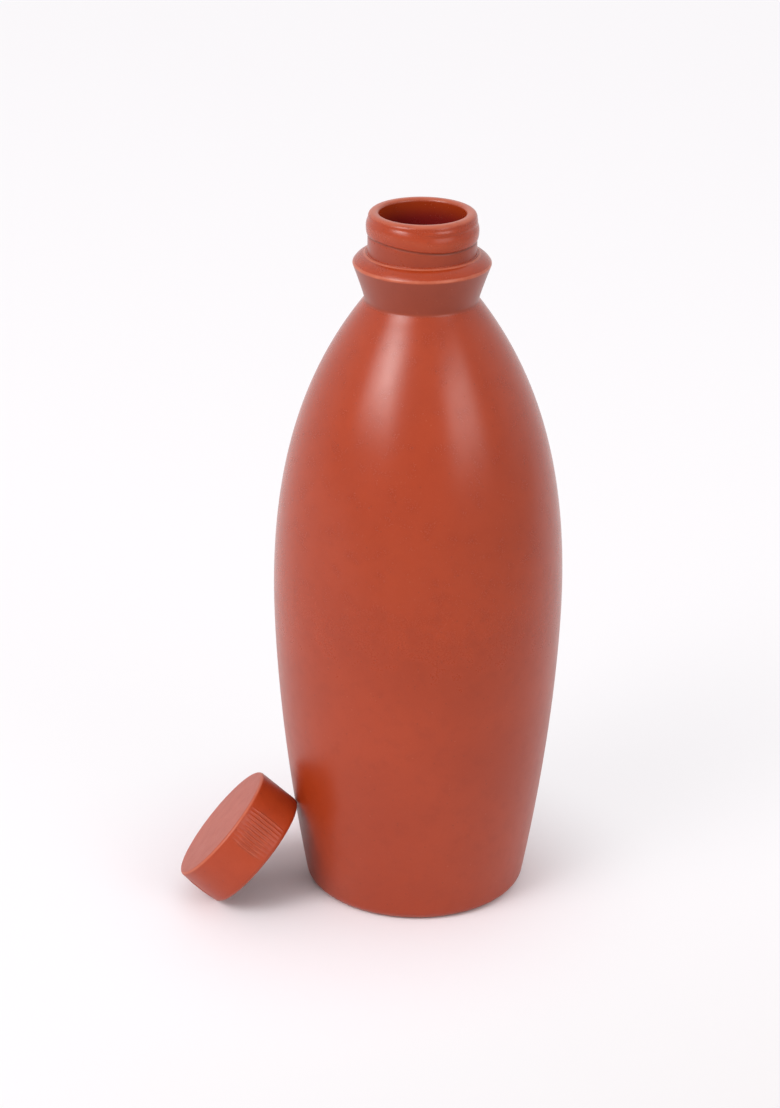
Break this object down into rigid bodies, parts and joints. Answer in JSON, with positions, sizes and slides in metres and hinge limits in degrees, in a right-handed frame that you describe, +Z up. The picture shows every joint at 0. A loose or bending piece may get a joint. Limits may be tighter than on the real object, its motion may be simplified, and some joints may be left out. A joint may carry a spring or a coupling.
{
  "type": "clay water bottle",
  "caption": "Slender unglazed clay water bottle with a collared screw neck, and its ribbed screw cap taken off and leaning against the flank.",
  "frame": {"origin": "centre of the bottle's flat foot, on the surface that it stands on", "axes": "+Z up along the bottle's axis, -Y towards the viewer of the picture, the loose cap lies on the -X side"},
  "size_m": [0.1343, 0.1014, 0.25],
  "materials": {
    "bottle_clay": "satin",
    "cap_clay": "satin",
    "seal_silicone": "matte"
  },
  "bodies": {
    "bottle": {"bottle_body": "bottle_clay"},
    "cap": {"screw_cap": "cap_clay", "cap_gasket": "seal_silicone"}
  },
  "joints": [
    {"name": "cap_lift", "type": "slide", "parent": "bottle", "child": "cap", "axis": [-0.7634, 0.0641, 0.6428], "range_m": [0, 0.12]}
  ]
}
